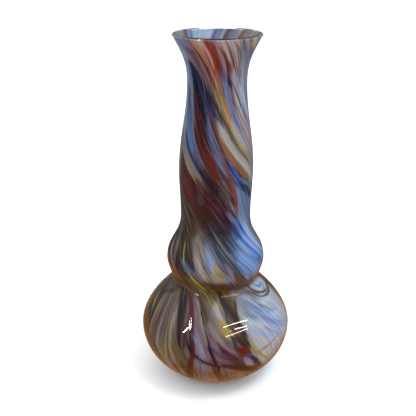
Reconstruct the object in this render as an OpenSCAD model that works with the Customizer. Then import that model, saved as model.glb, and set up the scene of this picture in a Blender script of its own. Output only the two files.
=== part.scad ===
// Hand blown art glass vase: a squat bulb, a pinched waist with a rounded knop above it,
// a long swelling neck and a flared mouth. A clear glass body carries a coat of twisted
// bands of coloured glass, with threads and shards of glass laid over the bands.
// Millimetres, +Z up, origin at the middle of the foot. The front faces -Y.

/* [Overall] */
// Height from the foot to the lip
vase_h = 300; // [290:1:310]
// Radius of the ring that the vase stands on
foot_r = 28; // [26:0.5:31]
// Radius of the polished hollow inside the foot ring
hollow_r = 20; // [16:0.5:22]
// Depth of that hollow
hollow_d = 1.8; // [1:0.1:2.5]

/* [Bulb] */
// Largest radius of the bulb
bulb_r = 66.2; // [60:0.2:70]
// Height of the bulb's widest line
bulb_z = 46.2; // [43:0.2:50]
// Roundness of the bulb below that line
bulb_low = 25.5; // [20:0.5:30]
// Roundness of the bulb above that line
bulb_high = 21.2; // [16:0.2:24]

/* [Waist and knop] */
// Radius at the pinched waist
waist_r = 37.6; // [34:0.2:40]
// Height of the pinched waist
waist_z = 90.4; // [87:0.2:93]
// Radius of the knop
knop_r = 42.6; // [41:0.2:46]
// Height of the knop's widest line
knop_z = 109.8; // [106:0.2:113]

/* [Neck] */
// Radius where the neck rises from the knop
neck_r = 30; // [27:0.2:32]
// Height of that place
neck_z = 151; // [146:0.5:156]
// Radius of the neck's swelling
belly_r = 31.2; // [29:0.2:34]
// Height of the swelling
belly_z = 190; // [184:0.5:198]
// Radius of the throat below the mouth
throat_r = 24.2; // [22:0.2:26]
// Height of the throat
throat_z = 264; // [258:0.5:268]

/* [Mouth] */
// Radius of the mouth at the lip
lip_r = 35.4; // [32:0.2:38]
// Slope of the flare at the lip, in degrees from level
lip_slope = 80; // [70:1:85]

/* [Glass layers] */
// Thickness of the threads and shards
thread_t = 0.25; // [0.2:0.05:0.4]
// Thickness of the twisted colour bands
band_t = 0.8; // [0.6:0.05:1]
// Thickness of the clear body on the wall
body_t = 1.6; // [1.2:0.1:2.2]
// Extra thickness of the clear body over the foot
heel_t = 5; // [2:0.5:6]
// Height of the clear lip above the bands
lip_h = 1.4; // [1:0.1:2]

/* [Swirl] */
// How far each band's edges wander to either side, in degrees
wander = 3; // [0:0.5:4]
// Height over which an edge wanders out and back
wander_h = 130; // [100:10:200]

/* [Hidden] */
// Gaps under the threads and under the bands, which their flat facets need
thread_gap = 0.1;
band_gap = 0.5;
// Depths of the bands and of the clear body below the outside of the vase
band_at = thread_t + thread_gap;
body_at = band_at + band_t + band_gap;
wall_t = body_at + body_t;
// Height to which the heel thickens the clear body
heel_h = 16;
// Gap between the ends of the bands and the clear foot and lip
end_gap = 0.3;
// Steps along each arc of the outline, for the clear body and for the bands
shell_steps = 12;
band_steps = 4;
// Widest cell across a band, in degrees, and across a thread, in millimetres
band_cell = 9.5;
thread_cell = 4;
// Steps between two points of a thread's path
thread_steps = 4;
// Segments of the clear body's circle
$fn = 120;

// Height against how far the swirl has turned there since the foot, in degrees
swirl = [[0, 0], [20, 1], [45, 6], [70, 18], [90, 34], [110, 54], [150, 98], [200, 161],
         [220, 184], [240, 201], [270, 218], [285, 229], [300, 243]];

// Angle round the foot at which each band starts; each ends where the next starts
band_starts = [-90, -66, -44, -27, -12, 0, 12, 27, 38, 47,
               72, 96, 122, 138, 160, 176, 192, 212, 223, 240];

// Paths of the threads and shards over the bands: angle from the front, height, width
navy_wedge_path = [[-50, 280, 1], [-42, 272, 8], [-33, 260, 10], [-18, 250, 6], [0, 240, 3], [12, 231, 1]];
brick_streak_path = [[-50, 256, 1], [-42, 241, 7], [-32, 224, 9], [-18, 207, 9], [-5, 193, 5], [3, 186, 1]];
slate_thread_path = [[-30, 248, 1], [-15, 226, 3], [-3, 213, 3], [3, 207, 1]];
citron_thread_path = [[-2, 264, 1], [15, 245, 3], [30, 228, 3.5], [45, 215, 3], [60, 204, 3], [74, 196, 1]];
azure_thread_path = [[14, 269, 1], [20, 258, 2.5], [30, 240, 3], [45, 222, 3], [62, 209, 1]];
garnet_thread_path = [[20, 271, 1], [28, 257, 2], [35, 245, 2], [43, 237, 1]];
ink_thread_path = [[26, 268, 1], [36, 259, 1.5], [48, 248, 1.5], [63, 233, 1]];
copper_streak_path = [[-2, 230, 1], [15, 215, 5], [32, 202, 6], [52, 190, 5], [70, 183, 1]];
cobalt_streak_path = [[12, 208, 1], [25, 195, 6], [40, 184, 7], [58, 174, 5], [76, 164, 1]];
deep_thread_path = [[-60, 224, 1], [-45, 209, 4], [-15, 190, 3], [2, 179, 3], [20, 166, 3], [34, 154, 1]];
bright_thread_path = [[36, 152, 1], [48, 143, 5], [62, 129, 5], [76, 115, 1]];
red_lobe_path = [[6, 200, 1], [18, 187, 7], [28, 173, 8], [34, 162, 5], [38, 153, 1]];
moss_thread_path = [[-25, 134, 1], [-18, 125, 2.5], [-9, 113, 2.5], [1, 100, 1]];
crimson_thread_path = [[-30, 86, 1], [-22, 75, 5], [-18, 60, 5], [-17, 45, 4], [-21, 22, 1]];
indigo_thread_path = [[-15, 82, 1], [-9, 67, 2.5], [-3, 52, 2], [3, 36, 2], [7, 20, 1]];
amber_thread_path = [[-4, 47, 1], [-1, 35, 3], [3, 24, 3], [5, 14, 1]];
teal_thread_path = [[9, 83, 1], [12, 68, 2.5], [16, 54, 3], [21, 41, 1]];
straw_thread_path = [[23, 64, 1], [28, 54, 3], [36, 43, 3], [51, 26, 1]];
navy_shard_path = [[22, 50, 1], [27, 43, 5], [32, 36, 5], [38, 28, 1]];
looped_thread_path = [[52, 88, 1], [54, 84, 2.5], [63, 81, 2.5], [78, 80, 3], [90, 83, 2.5], [97, 88, 1]];
citron_fleck_path = [[49, 296, 1], [55, 294, 5], [61, 291, 1]];
back_cobalt_path = [[150, 262, 1], [168, 240, 5], [190, 218, 7], [212, 200, 5], [230, 186, 1]];
back_ink_path = [[128, 215, 1], [150, 196, 3], [175, 176, 4], [200, 156, 3], [214, 143, 1]];
back_crimson_path = [[150, 84, 1], [158, 68, 5], [164, 50, 6], [166, 34, 4], [165, 20, 1]];
back_straw_path = [[196, 83, 1], [205, 67, 3], [210, 50, 4], [212, 35, 3], [212, 22, 1]];

// Points of a cubic Bezier curve after its first point
function bezier(a, b, c, d, steps) =
    [for (i = [1:steps])
        let (t = i / steps, u = 1 - t)
        u * u * u * a + 3 * u * u * t * b + 3 * u * t * t * c + t * t * t * d];

// Outline of the outside, from the axis under the foot to the lip, as [radius, height]
function outline(n) =
    let (hollow = [hollow_r, 0], foot = [foot_r, 0], bulb = [bulb_r, bulb_z],
         waist = [waist_r, waist_z], knop = [knop_r, knop_z], neck = [neck_r, neck_z],
         belly = [belly_r, belly_z], throat = [throat_r, throat_z], lip = [lip_r, vase_h])
    concat(
        [[0, hollow_d]],
        bezier([0, hollow_d], [hollow_r * 0.45, hollow_d], hollow - [6, 0.2], hollow, n / 2),
        bezier(hollow, hollow + [3, 0], foot - [3, 0], foot, 2),
        bezier(foot, foot + [16, 3.5], bulb - [0, bulb_low], bulb, n),
        bezier(bulb, bulb + [0, bulb_high], waist - [0, 1], waist, n),
        bezier(waist, waist + [0, 3.6], knop - [0, 4.6], knop, n / 2),
        bezier(knop, knop + [0, 17.5], neck - [0, 21], neck, n),
        bezier(neck, neck + [0, 15], belly - [0, 15], belly, n / 2),
        bezier(belly, belly + [0, 28], throat - [0, 28], throat, n / 2),
        bezier(throat, throat + [0, 20], lip - 7 * [cos(lip_slope), sin(lip_slope)], lip, n));

// Place in an outline of the point where the foot ends and the bulb begins
function foot_index(n) = n / 2 + 2;

// Unit normal that points out of the glass at each point of an outline
function unit(v) = v / norm(v);
function normals(p) =
    [for (i = [0:len(p) - 1])
        let (along = unit(p[min(i + 1, len(p) - 1)] - p[max(i - 1, 0)]))
        i == 0 ? [0, -1] : [along[1], -along[0]]];

// Outline moved a depth into the wall, with an extra depth over the foot
function inset(p, depth, heel) =
    let (out = normals(p))
    [for (i = [0:len(p) - 1])
        let (low = max(0, 1 - p[i][1] / heel_h))
        p[i] - (depth + heel * low * low * (3 - 2 * low)) * out[i]];

function turned(z) = lookup(z, swirl);
function reversed(list) = [for (i = [len(list) - 1:-1:0]) list[i]];
function slice(p, first, last) = [for (i = [first:1:last]) p[i]];
function lower_than(p, z) = [for (q = p) if (q[1] < z) q];

// Point at a radius and height, at an angle from the front
function around(radius, z, angle) = [radius * sin(angle), -radius * cos(angle), z];

shell_line = outline(shell_steps);
band_line = outline(2 * band_steps);

// Closed skin over rings of equal length, each ring running out along one face and back
// along the other, with `cells` cells across each face
module skin(rings, cells) {
    n = len(rings[0]);
    last = (len(rings) - 1) * n;
    sides = [for (r = [0:len(rings) - 2], k = [0:n - 1])
        let (a = r * n + k, b = r * n + (k + 1) % n)
        each [[a, b, b + n], [a, b + n, a + n]]];
    caps = [for (k = [0:cells - 1])
        let (far = n - 1 - k)
        each [[k, far, far - 1], [k, far - 1, k + 1],
              [last + k, last + far - 1, last + far], [last + k, last + k + 1, last + far - 1]]];
    polyhedron([for (ring = rings) each ring], concat(sides, caps));
}

// Angle of the left edge of band i at a height; the last band ends where the first starts
function band_edge(i, z) =
    let (n = len(band_starts), k = i % n)
    band_starts[k] + (i == n ? 360 : 0) + wander * sin(360 * z / wander_h + 100 * k) - turned(z);

// One twisted band of colour from the foot to the lip
module band(i) {
    outer_line = inset(band_line, band_at, 0);
    inner_line = inset(band_line, band_at + band_t, 0);
    wide = (i == len(band_starts) - 1 ? 270 : band_starts[i + 1]) - band_starts[i];
    cells = ceil(wide / band_cell);
    rings = [for (k = [foot_index(2 * band_steps) + 1:len(band_line) - 1])
        if (band_line[k][1] < vase_h - lip_h - end_gap)
            let (z = band_line[k][1], left = band_edge(i, z), step = (band_edge(i + 1, z) - left) / cells)
            concat(
                [for (j = [0:cells]) around(outer_line[k][0], outer_line[k][1], left + j * step)],
                [for (j = [cells:-1:0]) around(inner_line[k][0], inner_line[k][1], left + j * step)])];
    skin(rings, cells);
}

// A layer's face above the foot, as a table of [height, radius]
function face(depth) =
    let (line = inset(shell_line, depth, 0))
    [for (i = [foot_index(shell_steps):len(line) - 1]) [line[i][1], line[i][0]]];
thread_outer = face(0);
thread_inner = face(thread_t);

// Smooth path through the points of a list, which holds its ends twice
function smooth(p) =
    let (q = concat([p[0]], p, [p[len(p) - 1]]))
    [for (i = [1:len(p) - 1], k = [0:thread_steps - 1])
        let (t = k / thread_steps, a = q[i], b = q[i + 1], before = q[i - 1], after = q[i + 2])
        a + t * (b - before) / 2 + t * t * (before - 2.5 * a + 2 * b - after / 2)
          + t * t * t * (3 * (a - b) + after - before) / 2];

// One flat thread or shard of glass along a path of [angle, height, width]
module thread(path) {
    p = smooth(path);
    cells = ceil(max([for (q = path) q[2]]) / thread_cell);
    rings = [for (i = [0:len(p) - 1])
        let (q = p[i], ahead = p[min(i + 1, len(p) - 1)] - p[max(i - 1, 0)],
             r = lookup(q[1], thread_outer),
             slope = (lookup(q[1] + 0.5, thread_outer) - lookup(q[1] - 0.5, thread_outer)),
             per_degree = r * PI / 180, per_rise = sqrt(1 + slope * slope),
             along = unit([ahead[0] * per_degree, ahead[1] * per_rise]),
             half = q[2] / 2 * [along[1] / per_degree, -along[0] / per_rise],
             line = [for (j = [-cells:2:cells]) [q[0], q[1]] + half * j / cells])
        concat(
            [for (c = line) around(lookup(c[1], thread_outer), c[1], c[0])],
            [for (c = reversed(line)) around(lookup(c[1], thread_inner), c[1], c[0])])];
    skin(rings, cells);
}

// Clear glass that the colour lies on: a ground foot, a heavy heel and a rounded lip
module clear_body() {
    foot = foot_index(shell_steps);
    last = len(shell_line) - 1;
    under_colour = slice(inset(shell_line, body_at, 0), foot + 1, last);
    inside = inset(shell_line, wall_t, heel_t);
    lip_in = inside[last][0];
    lip_round = (lip_r - lip_in) / 2;
    lip_z = vase_h - max(lip_h, lip_round);
    color([0.86, 0.9, 0.92, 0.35])
        rotate_extrude()
            polygon(concat(
                slice(shell_line, 0, foot),
                lower_than(under_colour, lip_z),
                [for (a = [0:15:180]) [lip_in + lip_round * (1 + cos(a)), lip_z + lip_round * sin(a)]],
                reversed(lower_than(inside, lip_z))));
}

module olive_band() { color("#6f6a4a") band(0); }
module smoke_band() { color("#9a958f") band(1); }
module umber_band() { color("#5b4636") band(2); }
module mauve_band() { color("#8d7580") band(3); }
module aubergine_band() { color("#3b2030") band(4); }
module crimson_band() { color("#8c2634") band(5); }
module rose_band() { color("#a9808c") band(6); }
module straw_band() { color("#b3a452") band(7); }
module chestnut_band() { color("#6a3628") band(8); }
module opal_band() { color("#b4bcc8") band(9); }
module ice_band() { color("#9fb0cf") band(10); }
module brick_band() { color("#853a2c") band(11); }
module navy_band() { color("#222a55") band(12); }
module russet_band() { color("#94503e") band(13); }
module cobalt_band() { color("#2f55a8") band(14); }
module copper_band() { color("#a0694a") band(15); }
module pearl_band() { color("#bdbab5") band(16); }
module citron_band() { color("#aaa04e") band(17); }
module slate_band() { color("#6d7c9c") band(18); }
module blush_band() { color("#b08c8c") band(19); }

module navy_wedge() { color("#1d2146") thread(navy_wedge_path); }
module brick_streak() { color("#8f3b2b") thread(brick_streak_path); }
module slate_thread() { color("#5c6f9c") thread(slate_thread_path); }
module citron_thread() { color("#b5a84a") thread(citron_thread_path); }
module azure_thread() { color("#4d78c0") thread(azure_thread_path); }
module garnet_thread() { color("#6d1f26") thread(garnet_thread_path); }
module ink_thread() { color("#1e1c30") thread(ink_thread_path); }
module copper_streak() { color("#a5693f") thread(copper_streak_path); }
module cobalt_streak() { color("#2c4fa4") thread(cobalt_streak_path); }
module deep_thread() { color("#22336e") thread(deep_thread_path); }
module bright_thread() { color("#2b5bc0") thread(bright_thread_path); }
module red_lobe() { color("#9c4030") thread(red_lobe_path); }
module moss_thread() { color("#7b7a3c") thread(moss_thread_path); }
module crimson_thread() { color("#8a1f30") thread(crimson_thread_path); }
module indigo_thread() { color("#26264e") thread(indigo_thread_path); }
module amber_thread() { color("#a06a34") thread(amber_thread_path); }
module teal_thread() { color("#2f5f63") thread(teal_thread_path); }
module straw_thread() { color("#b7a23e") thread(straw_thread_path); }
module navy_shard() { color("#1f2a5c") thread(navy_shard_path); }
module looped_thread() { color("#4b2426") thread(looped_thread_path); }
module citron_fleck() { color("#b5a84a") thread(citron_fleck_path); }
module back_cobalt_streak() { color("#2c4fa4") thread(back_cobalt_path); }
module back_ink_thread() { color("#1e1c30") thread(back_ink_path); }
module back_crimson_streak() { color("#8a1f30") thread(back_crimson_path); }
module back_straw_thread() { color("#b7a23e") thread(back_straw_path); }

clear_body();
olive_band();
smoke_band();
umber_band();
mauve_band();
aubergine_band();
crimson_band();
rose_band();
straw_band();
chestnut_band();
opal_band();
ice_band();
brick_band();
navy_band();
russet_band();
cobalt_band();
copper_band();
pearl_band();
citron_band();
slate_band();
blush_band();
navy_wedge();
brick_streak();
slate_thread();
citron_thread();
azure_thread();
garnet_thread();
ink_thread();
copper_streak();
cobalt_streak();
deep_thread();
bright_thread();
red_lobe();
moss_thread();
crimson_thread();
indigo_thread();
amber_thread();
teal_thread();
straw_thread();
navy_shard();
looped_thread();
citron_fleck();
back_cobalt_streak();
back_ink_thread();
back_crimson_streak();
back_straw_thread();
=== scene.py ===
"""Hand blown art glass vase: a clear glass body with a coat of twisted colour bands, and
threads and shards of glass melted in over them. Sizes are in millimetres until a mesh is made.

Places on the wall are (angle, height): the angle in degrees from the front, which faces -Y,
positive towards +X, and the height above the foot. The colour runs along flow lines, which
keep one angle at the foot and turn with height as the swirl does."""

import math

import bpy
import numpy as np
from mathutils import Matrix, Vector


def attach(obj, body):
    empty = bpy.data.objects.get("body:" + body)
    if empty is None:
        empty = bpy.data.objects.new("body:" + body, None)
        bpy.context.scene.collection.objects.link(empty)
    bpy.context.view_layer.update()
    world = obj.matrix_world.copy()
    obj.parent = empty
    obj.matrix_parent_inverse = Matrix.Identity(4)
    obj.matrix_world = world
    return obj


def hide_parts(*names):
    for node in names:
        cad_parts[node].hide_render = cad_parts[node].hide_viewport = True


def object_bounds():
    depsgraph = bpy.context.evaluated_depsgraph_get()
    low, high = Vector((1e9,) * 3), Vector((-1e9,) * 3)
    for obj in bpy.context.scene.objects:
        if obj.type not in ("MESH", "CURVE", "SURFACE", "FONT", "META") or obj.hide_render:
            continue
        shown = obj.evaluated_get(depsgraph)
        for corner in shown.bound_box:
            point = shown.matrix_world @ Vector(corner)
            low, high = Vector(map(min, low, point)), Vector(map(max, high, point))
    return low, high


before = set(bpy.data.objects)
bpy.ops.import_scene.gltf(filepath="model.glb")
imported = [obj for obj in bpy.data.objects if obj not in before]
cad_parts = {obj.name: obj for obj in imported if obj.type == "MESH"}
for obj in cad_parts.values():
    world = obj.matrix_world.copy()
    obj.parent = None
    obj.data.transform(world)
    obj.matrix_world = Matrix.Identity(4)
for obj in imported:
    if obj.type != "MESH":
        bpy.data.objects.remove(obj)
cad_box = [list(corner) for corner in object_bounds()]

MM = 0.001

# ---------------------------------------------------------------- sizes, as in the CAD part

CAD_LOW, CAD_HIGH = (np.array(corner) / MM for corner in cad_box)
VASE_H = CAD_HIGH[2] - CAD_LOW[2]
FOOT_R, HOLLOW_R, HOLLOW_D = 28, 20, 1.8
BULB_R, BULB_Z, BULB_LOW, BULB_HIGH = 66.2, 46.2, 25.5, 21.2
WAIST_R, WAIST_Z = 37.6, 90.4
KNOP_R, KNOP_Z = 42.6, 109.8
NECK_R, NECK_Z = 30, 151
BELLY_R, BELLY_Z = 31.2, 190
THROAT_R, THROAT_Z = 24.2, 264
LIP_R, LIP_SLOPE, FLARE = 35.4, math.radians(80), 7
THREAD_T, THREAD_GAP, BAND_T, BAND_GAP, BODY_T = 0.25, 0.1, 0.8, 0.5, 1.6
HEEL_T, HEEL_H, LIP_H, END_GAP = 5, 16, 1.4, 0.3
BAND_AT = THREAD_T + THREAD_GAP
WALL_T = BAND_AT + BAND_T + BAND_GAP + BODY_T

# Height against how far the swirl has turned there since the foot, in degrees.
SWIRL = [(0, 0), (20, 1), (45, 6), (70, 18), (90, 34), (110, 54), (150, 98), (200, 161),
         (220, 184), (240, 201), (270, 218), (285, 229), (300, 243)]
WANDER, WANDER_H = 3, 130

# ---------------------------------------------------------------- tables of the glass


def table_rows(table):
    """The words on each line of a table, apart from its comment lines."""
    return [line.split() for line in table.strip().splitlines() if line[0] != "#"]


def path_of(words):
    """The points of a path from words such as -50,280."""
    return [tuple(float(number) for number in word.split(",")) for word in words]


def strokes(table):
    """Strokes of glass in the order that they lie, from lines that say the glass, the width, the
    softness of the edges, the strength and the places that the stroke runs through."""
    return [(glass, float(width), float(soft), float(strength), path_of(path))
            for glass, width, soft, strength, *path in table_rows(table)]


# Each band's name, the angle at the foot where it starts, and the glasses streaked into its own.
BANDS = [(name, float(start), (name, second, third)) for name, start, second, third in table_rows("""
olive -90 umber smoke
smoke -66 olive umber
umber -44 smoke mauve
mauve -27 umber smoke
aubergine -12 crimson umber
crimson 0 mauve rose
rose 12 mauve slate
straw 27 smoke olive
chestnut 38 umber straw
opal 47 ice smoke
ice 72 opal cobalt
brick 96 chestnut russet
navy 122 cobalt brick
russet 138 brick umber
cobalt 160 ice slate
copper 176 russet pearl
pearl 192 opal smoke
citron 212 olive pearl
slate 223 ice navy
blush 240 pearl mauve
""")]

# Threads and shards: the name, the glass, then angle, height and width along the path.
THREADS = {name: (glass, path_of(path)) for name, glass, *path in table_rows("""
navy_wedge plum -50,280,1 -42,272,8 -33,260,10 -18,250,6 0,240,3 12,231,1
brick_streak maroon -50,256,1 -42,241,7 -32,224,9 -18,207,9 -5,193,5 3,186,1
slate_thread slate -30,248,1 -15,226,3 -3,213,3 3,207,1
citron_thread gold -2,264,1 15,245,3 30,228,3.5 45,215,3 60,204,3 74,196,1
azure_thread denim 14,269,1 20,258,2.5 30,240,3 45,222,3 62,209,1
garnet_thread garnet 20,271,1 28,257,2 35,245,2 43,237,1
ink_thread ink 26,268,1 36,259,1.5 48,248,1.5 63,233,1
copper_streak copper -2,230,1 15,215,5 32,202,6 52,190,5 70,183,1
cobalt_streak cobalt 12,208,1 25,195,6 40,184,7 58,174,5 76,164,1
deep_thread midnight -60,224,1 -45,209,4 -15,190,3 2,179,3 20,166,3 34,154,1
bright_thread royal 36,152,1 48,143,5 62,129,5 76,115,1
red_lobe rust 6,200,1 18,187,7 28,173,8 34,162,5 38,153,1
moss_thread olive -25,134,1 -18,125,2.5 -9,113,2.5 1,100,1
crimson_thread garnet -30,86,1 -22,75,5 -18,60,5 -17,45,4 -21,22,1
indigo_thread ink -15,82,1 -9,67,2.5 -3,52,2 3,36,2 7,20,1
amber_thread amber -4,47,1 -1,35,3 3,24,3 5,14,1
teal_thread teal 9,83,1 12,68,2.5 16,54,3 21,41,1
straw_thread straw 23,64,1 28,54,3 36,43,3 51,26,1
navy_shard navy 22,50,1 27,43,5 32,36,5 38,28,1
looped_thread chestnut 52,88,1 54,84,2.5 63,81,2.5 78,80,3 90,83,2.5 97,88,1
citron_fleck citron 49,296,1 55,294,5 61,291,1
back_cobalt_streak cobalt 150,262,1 168,240,5 190,218,7 212,200,5 230,186,1
back_ink_thread ink 128,215,1 150,196,3 175,176,4 200,156,3 214,143,1
back_crimson_streak crimson 150,84,1 158,68,5 164,50,6 166,34,4 165,20,1
back_straw_thread straw 196,83,1 205,67,3 210,50,4 212,35,3 212,22,1
""")}

# The glasses, as sRGB hex colours.
GLASSES = """
ink 1a1226  midnight 26243e  navy 243a6a  indigo 4a4a74  cobalt 34508c
royal 2c5cb4  azure 5a78b0  denim 5a6c90  sky 6c8cba  haze 8c9fc0
frost abbccd  mist 8c989f  steel 6c7b92  slate 4e5870  lavender 9598a4
cloud a8adb5  pearl a6a39f  stone 8a8580  smoke 76726c  taupe 64584c
blush 9a8c8c  rosegrey 83757a  mauve 74606a  rosewood 64464a  rose 8c6f74
plum 402c38  aubergine 2e1a26  garnet 56282c  crimson 6a1c1c  oxblood 45201f
maroon 4c2621  rust 683028  brick 853a2c  clay 80564a  salmon 8c5a52
russet 7a4034  peach a07866  copper 7e5c48  tan 8c705c  chestnut 4a2820
sienna 5e4434  umber 4e3a2a  bistre 3c3028  amber 6e441c  ochre 604a28
moss 4c401e  olive 625836  gold 988658  citron a29648  straw 8c8250
opal 8c98a8  ice 8298c0  teal 24484e  pitch 241c16  storm 3e404c
violet 1e1436  wine 683a42  ember 6e2c20  claret 501e1c  loam 4c3618
"""

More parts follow.
